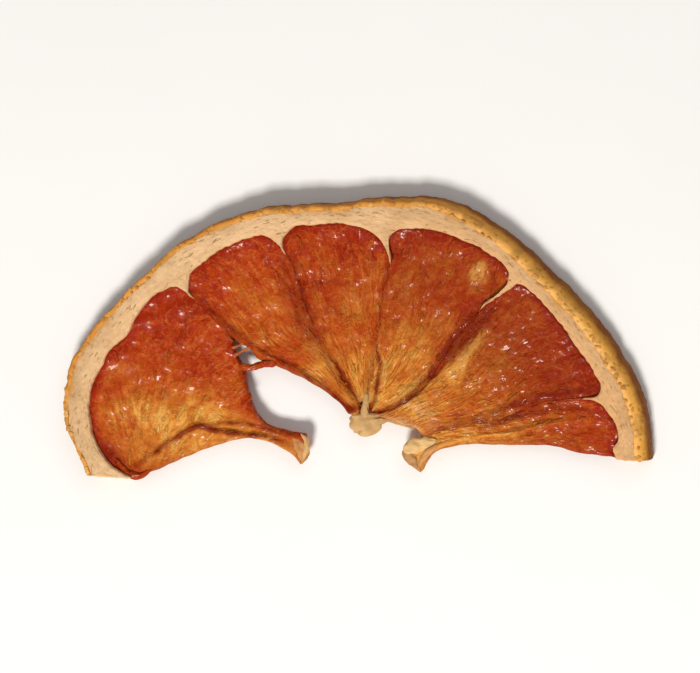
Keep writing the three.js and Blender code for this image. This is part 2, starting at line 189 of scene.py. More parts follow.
# Tapered scraps of core and skin: the line of their middle, half their width along it, how high their
# middle lies, half their height, how pale they are, and how golden. The pale ones are of core.
PALE_SCRAP = 0.3
SCRAPS = {
    "rolled_corner": dict(line=[[-35.6, -18.4], [-33.8, -20.6], [-31.9, -21.2], [-29.8, -20]],
        half=[0.2, 0.55, 0.6, 0.15], middle=2.9, tall=0.6),
    "core_stem": dict(line=[[3.05, -7.9], [2.85, -9.4], [2.75, -10.6], [2.8, -12.2]],
        half=[0.4, 0.42, 0.48, 0.62, 0.9], middle=2.95, tall=0.5, cream=1.0),
    "core_nub": dict(line=[[2.9, -10.9], [3, -12.2], [3.4, -13.2], [3.85, -14.3]],
        half=[2.1, 2.5, 2.5, 2.2, 1.8, 1.3], middle=2.5, tall=0.95, cream=1.0),
    "flesh_by_core": dict(line=[[0.6, -10.7], [2, -10.9], [3.6, -11], [5.6, -11.5]],
        half=[0.3, 0.8, 0.8, 0.3], middle=2.35, tall=0.4, gold=-0.1),
    "core_nub_side": dict(line=[[3.6, -12], [5, -12.1], [6.4, -12]], half=[0.5, 0.6, 0.15], middle=2.6,
        tall=0.6, cream=0.9),
    "torn_tip_left": dict(line=[[-8.5, -14.6], [-7.6, -15.6], [-6.9, -17], [-6.9, -18.9]],
        half=[0.25, 1.1, 1.2, 0.12], middle=2.5, tall=0.8, cream=0.38),
    "torn_tip_left_ridge": dict(line=[[-7, -14.2], [-6.1, -15.3], [-6.2, -16.9], [-6.8, -18.5]],
        half=[0.12, 0.42, 0.4, 0.1], middle=3.0, tall=0.4, cream=0.85, gold=0.5),
    "torn_tip_right": dict(line=[[13.6, -14.8], [11.6, -15.3], [10, -15.9], [8.6, -16.6]],
        half=[0.3, 0.8, 1.2, 1.2, 0.7], middle=2.85, tall=0.7, cream=0.95, gold=0.6),
    "torn_tip_right_foot": dict(line=[[8.9, -15.9], [9.5, -17.3], [10.4, -18.5], [11.2, -19.7]],
        half=[0.6, 1, 0.9, 0.5, 0.12], middle=2.6, tall=0.75, cream=0.85, gold=0.0),
    "torn_tip_right_ridge": dict(line=[[14, -15.4], [12.4, -16.5], [11.4, -17.8], [11, -18.9]],
        half=[0.15, 0.5, 0.5, 0.2], middle=3.1, tall=0.4, cream=0.32, gold=0.6),
    "torn_tip_right_fold": dict(line=[[10.2, -13.2], [8.6, -12.6], [6.4, -12], [4.4, -12]],
        half=[0.1, 0.28, 0.3, 0.1], middle=2.8, tall=0.3, cream=0.8),
    "strand_across_notch": dict(line=[[-16.4, -4.3], [-14.6, -4.5], [-12.6, -3.9], [-10.7, -3.7]],
        half=[0.6, 0.5, 0.5, 0.7], middle=2.7, tall=0.5),
    "strand_across_hole": dict(line=[[-17.4, -2.9], [-16.2, -2.2], [-14.6, -1.4]],
        half=[0.3, 0.16, 0.3], middle=2.8, tall=0.2, cream=0.2),
    "second_strand_across_hole": dict(line=[[-17.6, -1.6], [-16.6, -1.3], [-15.4, -0.5]],
        half=[0.3, 0.14, 0.3], middle=2.7, tall=0.18, cream=0.2),
}

# How far the pale start of each upright skin reaches from its spur of pith, and how far into the spur.
PALE_SKIN = [1.0, 0.8, 0.8, 1.2, 0.8]
IN_SPUR = 1.6

# ---- Curves and fields ----


def smooth(points):
    """A centripetal Catmull-Rom curve through points: called with shares of its length, it gives places."""
    points = np.array(points, float)
    points = np.vstack([2 * points[0] - points[1], points, 2 * points[-1] - points[-2]])
    share = np.linspace(0, 1, 40)[:, None]
    stretches = []
    for before, start, end, after in zip(points, points[1:], points[2:], points[3:]):
        first, middle, last = (
            np.sqrt(np.linalg.norm(b - a)) for a, b in ((before, start), (start, end), (end, after))
        )
        leaving = (start - before) / first - (end - before) / (first + middle) + (end - start) / middle
        arriving = (end - start) / middle - (after - start) / (middle + last) + (after - end) / last
        leaving, arriving = leaving * middle, arriving * middle
        squared = 3 * (end - start) - 2 * leaving - arriving
        cubed = 2 * (start - end) + leaving + arriving
        stretches.append(start + leaving * share + squared * share**2 + cubed * share**3)
    dense = np.vstack(stretches)
    reached = np.insert(np.cumsum(np.linalg.norm(np.diff(dense, axis=0), axis=1)), 0, 0)

    def at(shares):
        wanted = np.clip(shares, 0, 1) * reached[-1]
        return np.stack([np.interp(wanted, reached, column) for column in dense.T], axis=-1)

    at.length = reached[-1]
    return at


def blended(first, second, share):
    return first + (second - first) * share


def unit(direction):
    return direction / np.maximum(np.linalg.norm(direction, axis=-1, keepdims=True), 1e-9)


def smoothstep(value, low, high):
    share = np.clip((value - low) / (high - low), 0, 1)
    return share * share * (3 - 2 * share)


def bell(away, wide):
    return np.exp(-((away / wide) ** 2))


def waves(x, y, size, seed):
    """Soft uneven waves of about that length, from -1 to 1."""
    chance = np.random.default_rng(seed)
    total = np.zeros(np.broadcast(x, y).shape)
    for _ in range(9):
        turn, phase = chance.uniform(0, 2 * np.pi, 2)
        pace = 2 * np.pi / (size * chance.uniform(0.7, 1.5))
        total += np.sin(pace * (x * np.cos(turn) + y * np.sin(turn)) + phase)
    return np.clip(total / 4, -1, 1)


def run_along(place, axis):
    """The distance gone along a grid of places, in the direction of one of its axes."""
    steps = np.linalg.norm(np.diff(place, axis=axis), axis=-1)
    return np.insert(np.cumsum(steps, axis=axis), 0, 0, axis=axis)


def beside_line(line, place):
    """How far each place lies from a smooth line, and at which share of its length."""
    shares = np.linspace(0, 1, 41)
    corners = smooth(line)(shares)
    nearest = np.full(place.shape[:-1], np.inf)
    share = np.zeros(place.shape[:-1])
    for start, end, begun in zip(corners, corners[1:], shares):
        way = end - start
        on = np.clip(((place - start) @ way) / (way @ way), 0, 1)
        away = np.linalg.norm(place - start - on[..., None] * way, axis=-1)
        closer = away < nearest
        nearest = np.where(closer, away, nearest)
        share = np.where(closer, begun + on * shares[1], share)
    return nearest, share


def rind_edge(degrees):
    """The top outer edge of the rind, by its direction from the fruit's centre."""
    last = len(ARCH_RADII) - 1
    place = (ARCH_START - degrees) / (ARCH_START - ARCH_END) * last
    first = np.clip(np.floor(place), 0, last - 1).astype(int)
    before, start, end, after = (ARCH_RADII[np.clip(first + k, 0, last)] for k in (-1, 0, 1, 2))
    t = place - first
    cubed = (3 * start - before - 3 * end + after) / 2
    squared = (2 * before - 5 * start + 4 * end - after) / 2
    radius = ((cubed * t + squared) * t + (end - before) / 2) * t + start
    turn = np.radians(degrees)
    return FRUIT_CENTRE + radius[..., None] * np.stack([np.cos(turn), np.sin(turn)], axis=-1)


def rind_top(place):
    return RIND_HEIGHT + RIND_WAVE * np.sin(0.21 * place[..., 0] + 0.13 * place[..., 1] + 0.8)


def segment_places(number):
    """A segment's places: across it from its left side to its right, along it from its rim to the core."""
    rim, left, right, end = (smooth(s[number]) for s in (RIMS, LEFT_SIDES, RIGHT_SIDES, ENDS))

    def at(across, along):
        u, v = across[..., None], along[..., None]
        sides = rim(across) * (1 - v) + end(across) * v + left(along) * (1 - u) + right(along) * u
        corners = [(rim(0.0), (1 - u) * (1 - v)), (rim(1.0), u * (1 - v)), (end(0.0), (1 - u) * v),
                   (end(1.0), u * v)]
        return sides - sum(corner * share for corner, share in corners)

    return at


# ---- Meshes ----


def mesh_piece(name, places, faces, fields):
    """An object from places in millimetres, faces as rows of indices, and fields: a number for all places,
    or a number or a vector for each."""
    places = np.asarray(places, float) - [*BOX_MIDDLE, 0]
    mesh = bpy.data.meshes.new(name)
    mesh.from_pydata(places * MM, [], faces)
    for field, values in fields.items():
        values = np.asarray(values, np.float32)
        if values.ndim == 0:
            values = np.full(len(places), values)
        kind, slot = ("FLOAT", "value") if values.ndim == 1 else ("FLOAT_VECTOR", "vector")
        mesh.attributes.new(field, kind, "POINT").data.foreach_set(slot, values.ravel())
    mesh.validate()
    mesh.shade_smooth()
    piece = bpy.data.objects.new(name, mesh)
    bpy.context.scene.collection.objects.link(piece)
    return piece


def swept_piece(name, place, fields, clockwise=False):
    """An object from closed sections that follow each other, with both ends closed. Its faces point
    outwards if each section runs the way that clockwise says, seen from beyond the last one."""
    columns, sides = place.shape[:2]
    here = np.arange(columns - 1)[:, None] * sides + np.arange(sides)
    beside = np.arange(columns - 1)[:, None] * sides + (np.arange(sides) + 1) % sides
    quads = np.stack([here, here + sides, beside + sides, beside], axis=-1).reshape(-1, 4).tolist()
    ends = [list(range(sides)), list(range(columns * sides - 1, (columns - 1) * sides - 1, -1))]
    faces = [face[::-1] if clockwise else face for face in quads + ends]
    return mesh_piece(name, place.reshape(-1, 3), faces, fields)


def vectors(x, y, z):
    return np.stack(np.broadcast_arrays(x, y, z), axis=-1).reshape(-1, 3)


def right_of(place):
    """The direction to the right of a line of places, at each of them."""
    ahead = unit(np.gradient(place, axis=0))
    return np.stack([ahead[:, 1], -ahead[:, 0]], axis=-1)


def sections(place, across, reach, height):
    """Sections that follow a line of places: so far across from it, and so high."""
    return np.concatenate([place[:, None] + across[:, None] * reach[..., None], height[..., None]], axis=-1)


# ---- Node trees ----


class Socket:
    """An output of a node, with the arithmetic that adds more nodes to its tree."""

    def __init__(self, tree, link):
        self.tree = tree
        self.link = link

    def math(self, operation, *others):
        return self.tree.node("ShaderNodeMath", [self, *others], operation=operation)

    def vector(self, operation, *others):
        return self.tree.node("ShaderNodeVectorMath", [self, *others], operation=operation)

    def scaled(self, factor):
        return self.tree.node("ShaderNodeVectorMath", {"Vector": self, "Scale": factor}, operation="SCALE")

    def __add__(self, other):
        return self.math("ADD", other)

    def __sub__(self, other):
        return self.math("SUBTRACT", other)

    def __rsub__(self, other):
        return self.tree.node("ShaderNodeMath", [other, self], operation="SUBTRACT")

    def __mul__(self, other):
        return self.math("MULTIPLY", other)

    def __truediv__(self, other):
        return self.math("DIVIDE", other)

    __radd__ = __add__
    __rmul__ = __mul__

    def step(self, low, high):
        """Smoothly from 0 at low to 1 at high."""
        inputs = {"Value": self, "From Min": low, "From Max": high}
        return self.tree.node("ShaderNodeMapRange", inputs, interpolation_type="SMOOTHSTEP")


class Tree:
    """A node tree being built, of a material or of Geometry Nodes."""

    def __init__(self, tree):
        self.tree = tree

    def node(self, kind, inputs=None, output=0, stops=None, **settings):
        """Adds a node with its settings, then the values or links of its sockets, and gives an output."""
        made = self.tree.nodes.new(kind)
        for name, value in settings.items():
            setattr(made, name, value)
        if stops:
            ramp = made.color_ramp.elements
            ramp[0].position, ramp[0].color = stops[0]
            ramp[1].position, ramp[1].color = stops[-1]
            for position, colour in stops[1:-1]:
                ramp.new(position).color = colour
        shown = [socket for socket in made.inputs if socket.enabled]
        named = inputs if isinstance(inputs, dict) else dict(enumerate(inputs or []))
        for key, value in named.items():
            socket = shown[key] if isinstance(key, int) else next(s for s in shown if s.name == key)
            if isinstance(value, Socket):
                self.tree.links.new(value.link, socket)
            elif value is not None:
                socket.default_value = value
        given = [socket for socket in made.outputs if socket.enabled]
        if isinstance(output, int):
            return Socket(self, given[output])
        return Socket(self, next(s for s in given if s.name == output))

    def blend(self, share, first, second):
        return self.node("ShaderNodeMix", {"Factor": share, "A": first, "B": second}, data_type="RGBA")

    def noise(self, place, scale, detail=2.0, roughness=0.5, output=0, distortion=0.0):
        return self.node("ShaderNodeTexNoise", {
            "Vector": place, "Scale": scale, "Detail": detail, "Roughness": roughness,
            "Distortion": distortion,
        }, output)

    def combined(self, x, y, z):
        return self.node("ShaderNodeCombineXYZ", [x, y, z])

    def uneven(self, *noise):
        """A noise as a vector, around nothing."""
        return self.noise(*noise, output="Color").vector("SUBTRACT", (0.5, 0.5, 0.5))


def srgb(red, green, blue):
    """A colour as seen on a screen, 0 to 255, as the linear colour of a socket."""
    shown = np.array([red, green, blue]) / 255
    linear = np.where(shown <= 0.04045, shown / 12.92, ((shown + 0.055) / 1.055) ** 2.4)
    return (*linear.tolist(), 1.0)


# ---- Geometry Nodes ----


def geometry_tree(name, sizes):
    """A Geometry Nodes group with the named sizes, a seed and a material; gives its builder, its inputs
    and its end."""
    group = bpy.data.node_groups.new(name, "GeometryNodeTree")
    group.interface.new_socket(name="Geometry", in_out="INPUT", socket_type="NodeSocketGeometry")
    for label, kind in (*((size, "Float") for size in sizes), ("Seed", "Int"), ("Material", "Material")):
        group.interface.new_socket(name=label, in_out="INPUT", socket_type="NodeSocket" + kind)
    group.interface.new_socket(name="Geometry", in_out="OUTPUT", socket_type="NodeSocketGeometry")
    tree = Tree(group)
    entry = group.nodes.new("NodeGroupInput")
    given = {socket.name: Socket(tree, socket) for socket in entry.outputs if socket.name}

    def finish(geometry):
        real = tree.node("GeometryNodeRealizeInstances", [geometry])
        dressed = tree.node("GeometryNodeSetMaterial", {"Geometry": real, "Material": given["Material"]})
        group.links.new(dressed.link, group.nodes.new("NodeGroupOutput").inputs[0])
        return group

    return tree, given, finish


def named(tree, name, kind="FLOAT"):
    return tree.node("GeometryNodeInputNamedAttribute", [name], data_type=kind)


def stored(tree, geometry, name, value, domain="POINT"):
    inputs = {"Geometry": geometry, "Name": name, "Value": value}
    return tree.node("GeometryNodeStoreNamedAttribute", inputs, data_type="FLOAT", domain=domain)


def ridges_tree():
    """Raises rounded ridges with sharp grooves between them along the grain of a surface, and wrinkles."""
    tree, given, finish = geometry_tree("dried ridges and wrinkles", [
        "Ridge Width", "Ridge Length", "Ridge Height", "Waviness", "Wrinkle Size", "Wrinkle Height",
    ])
    shift = tree.combined(given["Seed"] * 13.7, given["Seed"] * 7.3, given["Seed"])
    moved = named(tree, "grain", "FLOAT_VECTOR").vector("ADD", shift)
    drift = tree.uneven(moved, 0.35, 3.0, 0.6).scaled(given["Waviness"] * 4.0)
    cell = tree.combined(given["Ridge Width"], given["Ridge Length"], 1.0)
    cells = moved.vector("DIVIDE", cell).vector("ADD", drift)
    inputs = {"Vector": cells, "Scale": 1.0, "Randomness": 0.9}
    away = tree.node("ShaderNodeTexVoronoi", inputs, "Distance", voronoi_dimensions="2D")
    tint = away.link.node.outputs["Color"]
    ridge = 0.45 - away
    wrinkle = tree.noise(moved.vector("DIVIDE", given["Wrinkle Size"]), 1.0, 4.0, 0.55) - 0.5
    rise = (ridge * given["Ridge Height"] + wrinkle * given["Wrinkle Height"] * 2.0) * MM
    offset = tree.node("GeometryNodeInputNormal").scaled(rise * named(tree, "relief"))
    raised = tree.node("GeometryNodeSetPosition", {"Geometry": given["Geometry"], "Offset": offset})
    tone = tree.node("ShaderNodeSeparateXYZ", [Socket(tree, tint)])
    return finish(stored(tree, raised, "tone", tone))


def slivers_tree():
    """Lays slender rounded bodies along the grain of a surface, sunk into it, each with its own tone."""
    tree, given, finish = geometry_tree("slender bodies along the grain", [
        "Count per cm2", "Length", "Width", "Height", "Sunk", "Straying", "Crumple",
    ])
    up = tree.node("ShaderNodeSeparateXYZ", [tree.node("GeometryNodeInputNormal")], "Z")
    facing_up = up.math("GREATER_THAN", 0.25)
    scattered = tree.node("GeometryNodeDistributePointsOnFaces", {
        "Mesh": given["Geometry"], "Selection": facing_up,
        "Density": given["Count per cm2"] * CM2_IN_M2 * named(tree, "cover"), "Seed": given["Seed"],
    }, distribute_method="RANDOM")
    normal = Socket(tree, scattered.link.node.outputs["Normal"])

    def chance(kind, low, high, salt):
        inputs = {"Min": low, "Max": high, "Seed": given["Seed"] + float(salt)}
        return tree.node("FunctionNodeRandomValue", inputs, data_type=kind)

    stray = chance("FLOAT_VECTOR", (-1.0, -1.0, -1.0), (1.0, 1.0, 1.0), 1).scaled(given["Straying"])
    heading = named(tree, "radial", "FLOAT_VECTOR").vector("ADD", stray)
    upright = tree.node("FunctionNodeAlignRotationToVector", {"Vector": normal}, axis="Z")
    inputs = {"Rotation": upright, "Vector": heading}
    turned = tree.node("FunctionNodeAlignRotationToVector", inputs, axis="X", pivot_axis="Z")
    size = tree.combined(*(
        given[side] * chance("FLOAT", least, most, salt) * MM
        for side, least, most, salt in (
            ("Length", 0.55, 1.3, 2), ("Width", 0.7, 1.3, 3), ("Height", 0.7, 1.2, 4),
        )
    ))
    body = tree.node("GeometryNodeMeshUVSphere", {"Segments": 8, "Rings": 7, "Radius": 0.5})
    lying = tree.node("GeometryNodeTransform", {"Geometry": body, "Rotation": (0.0, np.pi / 2, 0.0)})
    placed = tree.node("GeometryNodeInstanceOnPoints", {
        "Points": scattered, "Instance": lying, "Rotation": turned, "Scale": size,
    })
    sunk = tree.node("GeometryNodeTranslateInstances", {
        "Instances": placed, "Local Space": True,
        "Translation": tree.combined(0.0, 0.0, given["Sunk"] * -MM),
    })
    toned = stored(tree, sunk, "tone", chance("FLOAT", 0.3, 1.0, 5), "INSTANCE")
    real = tree.node("GeometryNodeRealizeInstances", [toned])
    crumple = tree.uneven(tree.node("GeometryNodeInputPosition"), 900.0, 2.0, 0.5)
    inputs = {"Geometry": real, "Offset": crumple.scaled(given["Crumple"] * (2 * MM))}
    crumpled = tree.node("GeometryNodeSetPosition", inputs)
    return finish(tree.node("GeometryNodeSetShadeSmooth", [crumpled]))


def apply_tree(piece, group, values):
    """Runs a Geometry Nodes group on a piece and leaves the result as its plain mesh."""
    modifier = piece.modifiers.new(group.name, "NODES")
    modifier.node_group = group
    for item in group.interface.items_tree:
        if item.in_out == "INPUT" and item.name in values:
            modifier[item.identifier] = values[item.name]
    bpy.context.view_layer.update()
    evaluated = piece.evaluated_get(bpy.context.evaluated_depsgraph_get())
    mesh = bpy.data.meshes.new_from_object(evaluated)
    piece.modifiers.clear()
    piece.data = mesh
    mesh.name = piece.name
    return piece


def scatter(name, carrier, values):
    """A new piece: the slender bodies laid on another piece's surface."""
    piece = bpy.data.objects.new(name, carrier.data)
    bpy.context.scene.collection.objects.link(piece)
    return apply_tree(piece, SLIVERS, values)


# ---- Materials ----


def material(name, constants, build):
    """A material around the principled shader: the same all over on its sockets, the rest from build."""
    made = bpy.data.materials.new(name)
    made.use_nodes = True
    tree = Tree(made.node_tree)
    shader = made.node_tree.nodes["Principled BSDF"]
    for socket, value in constants.items():
        shader.inputs[socket].default_value = value
    for socket, value in build(tree).items():
        made.node_tree.links.new(value.link, shader.inputs[socket])
    return made


def attribute(tree, name, output="Fac"):
    return tree.node("ShaderNodeAttribute", output=output, attribute_name=name)


def along_grain(tree, pace, detail, roughness):
    """A noise drawn out along the grain of a surface, by its pace across, along and through it."""
    return tree.noise(attribute(tree, "grain", "Vector").vector("MULTIPLY", pace), 1.0, detail, roughness)


def object_place(tree):
    return tree.node("ShaderNodeTexCoord", output="Object")


def bumped(tree, height, strength, distance):
    return tree.node("ShaderNodeBump", {"Height": height, "Strength": strength, "Distance": distance * MM})


def flesh_looks(tree):
    place = object_place(tree)
    gold, dark, tone, cream = (attribute(tree, name) for name in ("gold", "dark", "tone", "cream"))
    blotch = tree.noise(place, 130.0, 4.0, 0.6) + tree.noise(place, 420.0, 3.0, 0.6) * 0.7 - 0.85
    streak = along_grain(tree, (1.7, 0.45, 1.0), 4.0, 0.65) - 0.5
    drawn = tree.noise(place, 110.0, 2.0, 0.5).step(0.42, 0.6) * 0.7 + 0.3
    warmth = gold + (tone - 0.5) * 0.22 + blotch * 0.85 + streak * (gold * 1.1 + 0.3) * drawn
    colour = tree.node("ShaderNodeValToRGB", [warmth], stops=[
        (0.0, srgb(158, 36, 2)), (0.2, srgb(176, 56, 5)), (0.45, srgb(184, 80, 16)),
        (0.7, srgb(198, 112, 36)), (0.9, srgb(216, 142, 54)), (1.0, srgb(228, 164, 78)),
    ])
    thread = along_grain(tree, (3.2, 0.5, 1.0), 3.0, 0.5)
    threaded = tree.blend(thread.step(0.55, 0.75) * gold * 0.5 * drawn, colour, srgb(240, 176, 98))
    # Darker lines between the threads: painted shade of the grooves between them.
    groove_shade = (1.0 - thread.step(0.3, 0.44)) * 0.3 * drawn
    crinkle = tree.noise(place, 1100.0, 3.0, 0.55, distortion=0.9)
    crumpled = tree.noise(place, 340.0, 2.0, 0.5, distortion=1.4)
    crest = 1.0 - (crumpled - 0.5).math("ABSOLUTE").step(0.0, 0.045)
    # Paler on the crinkle and crumple crests: a painted highlight.
    crest_highlit = tree.blend(crinkle.step(0.52, 0.72) * 0.3 + crest * 0.22, threaded, srgb(226, 132, 54))
    # Darker where the crinkle bump is low: painted shade in its hollows.
    hollow_shade = (1.0 - crinkle.step(0.3, 0.46)) * 0.25
    shade = dark + groove_shade + hollow_shade + (0.25 - tone).math("MAXIMUM", 0.0) * 0.5
    shaded = tree.blend(shade.math("MINIMUM", 0.9), crest_highlit, srgb(122, 24, 2))
    fine = along_grain(tree, (4.0, 1.5, 1.0), 3.0, 0.65)
    glazed = tree.noise(place, 800.0, 3.0, 0.6).step(0.5, 0.64) * 0.5
    return {
        "Base Color": tree.blend(cream, shaded, srgb(220, 172, 120)),
        "Roughness": tree.noise(place, 600.0, 3.0, 0.6) * 0.3 + 0.35,
        "Coat Weight": (glazed - cream).math("MAXIMUM", 0.0),
        "Normal": bumped(tree, fine * 0.3 + crinkle + crest * 0.35, 0.7, 0.3),
    }


def pith_looks(tree):
    place = object_place(tree)
    outness = attribute(tree, "outness")
    patch = tree.noise(place, 200.0, 4.0, 0.6)
    fibre = along_grain(tree, (0.7, 2.4, 1.5), 4.0, 0.65)
    dash = along_grain(tree, (0.75, 2.8, 2.0), 2.0, 0.5).step(0.62, 0.72)
    pale = tree.blend(patch.step(0.35, 0.68), srgb(232, 191, 144), srgb(216, 174, 126))
    base = tree.blend(attribute(tree, "east") * 0.4, pale, srgb(214, 152, 84))
    fibrous = tree.blend(fibre.step(0.5, 0.75) * 0.35, base, srgb(196, 152, 106))
    flecked = tree.blend(dash * (outness * 0.5 + 0.3), fibrous, srgb(150, 106, 64))
    grey = tree.blend((outness * 0.7 + patch * 0.6).step(0.6, 0.85) * 0.25, flecked, srgb(176, 144, 108))
    edged = tree.blend((outness + patch - 0.5).step(0.78, 1.0) * 0.85, grey, srgb(204, 146, 76))
    return {
        "Base Color": edged,
        "Roughness": patch * 0.2 + 0.72,
        "Normal": bumped(tree, fibre + tree.noise(place, 1500.0, 3.0, 0.6) * 0.7, 0.8, 0.3),
    }


def peel_looks(tree):
    place = object_place(tree)
    height, east = attribute(tree, "height"), attribute(tree, "east")
    mottle = tree.noise(place, 260.0, 4.0, 0.6)
    spots = {"Vector": attribute(tree, "grain", "Vector"), "Scale": 1.2}
    gland = tree.node("ShaderNodeTexVoronoi", spots, "Distance")
    side = tree.blend(east, srgb(184, 112, 36), srgb(242, 172, 70))
    low = tree.blend(east, srgb(134, 76, 14), srgb(132, 68, 2))
    shown = height + (mottle - 0.5) * 0.35
    peel = tree.blend((shown - east * 0.2).step(0.35, 0.7), low, side)
    lip = tree.blend(east, srgb(226, 156, 72), srgb(248, 184, 98))
    golden = tree.blend(shown.step(0.86, 0.98), peel, lip)
    mottled = tree.blend(mottle.step(0.45, 0.6) * 0.45, golden, srgb(158, 106, 32))
    pitted = tree.blend((1.0 - gland.step(0.08, 0.4)) * 0.4, mottled, srgb(140, 84, 16))
    return {
        "Base Color": pitted,
        "Roughness": mottle * 0.3 + 0.45,
        "Normal": bumped(tree, gland.step(0.0, 0.5) + tree.noise(place, 2200.0, 2.0, 0.5) * 0.4, 0.5, 0.2),
    }


def speck_looks(dark, light, scale, toned, mottled, rough, rougher):
    """Small bodies between two colours, by each one's own tone and by a mottle on them."""

    def build(tree):
        mottle = tree.noise(object_place(tree), scale, 2.0, 0.5)
        share = attribute(tree, "tone") * toned + mottle * mottled - (toned + mottled - 1) / 2
        return {
            "Base Color": tree.blend(share, dark, light),
            "Roughness": mottle * rougher + rough,
            "Normal": bumped(tree, mottle, 0.4, 0.1),
        }

    return build


GLAND_LOOKS = speck_looks(srgb(156, 96, 32), srgb(228, 166, 88), 900.0, 1.0, 0.5, 0.25, 0.3)
PORE_LOOKS = speck_looks(srgb(160, 114, 70), srgb(204, 160, 110), 1200.0, 0.6, 0.4, 0.65, 0.2)


def core_looks(tree):
    place = object_place(tree)
    cream = attribute(tree, "cream")
    mottle = tree.noise(place, 600.0, 4.0, 0.65)
    fibre = along_grain(tree, (3.0, 0.6, 1.0), 3.0, 0.6)
    shade = tree.blend(mottle.step(0.4, 0.7), srgb(190, 146, 92), srgb(160, 112, 60))
    pale = tree.blend(attribute(tree, "gold"), shade, srgb(246, 208, 140))
    amber = tree.blend(mottle.step(0.4, 0.7), srgb(202, 128, 58), srgb(172, 92, 36))
    base = tree.blend(cream, amber, pale)
    return {
        "Base Color": tree.blend(fibre.step(0.55, 0.75) * 0.4, base, srgb(160, 96, 44)),
        "Roughness": mottle * 0.3 + 0.5,
        "Normal": bumped(tree, fibre + mottle * 0.5, 0.6, 0.2),
    }


def floor_looks(tree):
    mottle = tree.noise(object_place(tree), 30.0, 3.0, 0.5)
    return {"Base Color": tree.blend(mottle, srgb(240, 239, 238), srgb(244, 243, 242)),
            "Roughness": mottle * 0.1 + 0.7}


def translucent(weight, depth, shine=0.5):
    """The constant sockets of a surface that light enters, that far in millimetres, more so if red."""
    return {
        "Subsurface Weight": weight, "Subsurface Scale": depth * MM, "Subsurface Radius": (1.0, 0.35, 0.12),
        "Specular IOR Level": shine, "Coat Roughness": 0.2,
    }


DRIED_FLESH = material("dried_flesh", translucent(0.3, 0.9, shine=0.08), flesh_looks)
DRIED_PITH = material("dried_pith", translucent(0.15, 0.8, shine=0.15), pith_looks)
DRIED_PEEL = material("dried_peel", translucent(0.08, 0.5, shine=0.12), peel_looks)
OIL_GLANDS = material("oil_glands", translucent(0.15, 0.5, shine=0.2), GLAND_LOOKS)
PITH_PORES = material("pith_pores", translucent(0.05, 0.3, shine=0.1), PORE_LOOKS)
DRIED_CORE = material("dried_core", translucent(0.25, 0.8, shine=0.4), core_looks)
PALE_FLOOR = material("pale_floor", {}, floor_looks)

RIDGES = ridges_tree()
SLIVERS = slivers_tree()

# ---- Rind ----

# The peel's outer side, from its inner bottom edge round to its top: how far in from the top outer
# edge, and how high.
PEEL_OUTSIDE = smooth([[0.35, 0], [-0.6, 0], [-1.35, 0.06], [-PEEL_SLANT, 0.5], [-1.52, 1.6], [-1.22, 2.7],
                       [-0.75, 3.55], [-0.22, 4.15], [0.25, 4.44], [0.75, 4.42]])
PEEL_INSIDE = np.array([[0.7, 4.15], [0.5, 3.2], [0.45, 1.6], [0.4, 0.15]])
LEFT_SLANT = 0.3  # on the left, where the peel has dried upright; on the right it slants by the full amount
RIND_RADIUS = 44
PEEL_STEPS = 36
PITH_TOP_STEPS = 46
# The last sections at each end of the rind: how far each closes towards its middle, and how far it
# stands out from the end.
END_SECTIONS = np.array([[0.04, 0.1], [0.12, 0.17], [0.3, 0.21], [0.5, 0.23], [0.75, 0.24], [0.97, 0.24]])


def rind_columns():
    """For each section of the rind its outer place, its direction inwards, its width, how far along it
    lies, how much it is on a spur, and how it closes an end."""
    outer, inner, spur = [], [], []
    for number, rim in enumerate(RIMS):
        across = np.linspace(0, 1, RIND_COLUMNS, endpoint=number == len(RIMS) - 1)
        first, last = SPUR_DIRECTIONS[number : number + 2]
        place = smooth(rim)(across)
        seen = place - FRUIT_CENTRE
        straight = np.clip(np.degrees(np.arctan2(seen[:, 1], seen[:, 0])), last, first)
        off_spur = smoothstep(np.minimum(across, 1 - across), 0, SPUR_SHARE)
        direction = np.minimum.accumulate(blended(np.where(across < 0.5, first, last), straight, off_spur))
        outer.append(rind_edge(blended(direction, blended(first, last, across), EVEN_SPACING)))
        inner.append(place)
        spur.append(1 - off_spur)
    outer, inner, spur = np.vstack(outer), np.vstack(inner), np.concatenate(spur)
    around = run_along(outer, 0)
    inwards = inner - outer
    width = np.linalg.norm(inwards, axis=1)
    inwards /= width[:, None]
    more = len(END_SECTIONS)
    ending = np.zeros((len(outer) + 2 * more, 3))
    for rows, closing, (x, y) in ((slice(0, more), END_SECTIONS[::-1], inwards[0]),
                                  (slice(-more, None), END_SECTIONS, -inwards[-1])):
        ending[rows, 0] = closing[:, 0]
        ending[rows, 1:] = closing[:, 1:] * [y, -x]
    kept = np.clip(np.arange(len(ending)) - more, 0, len(outer) - 1)
    return outer[kept], inwards[kept], width[kept], around[kept], spur[kept], ending


def swept(outer, inwards, ending, inward, height):
    """Sections of the rind as places: so far in from the outer edge, and so high."""
    place = sections(outer, inwards, inward, height)
    middle = (place.min(axis=1, keepdims=True) + place.max(axis=1, keepdims=True)) / 2
    place = blended(place, middle, ending[:, None, :1])
    place[..., :2] += ending[:, None, 1:]
    return place


def easterly(outer):
    """How far a section belongs to the right of the rind: 0 on the left, 1 past the top on the right."""
    seen = outer - FRUIT_CENTRE
    return 1 - smoothstep(np.degrees(np.arctan2(seen[:, 1], seen[:, 0])), 45, 95)


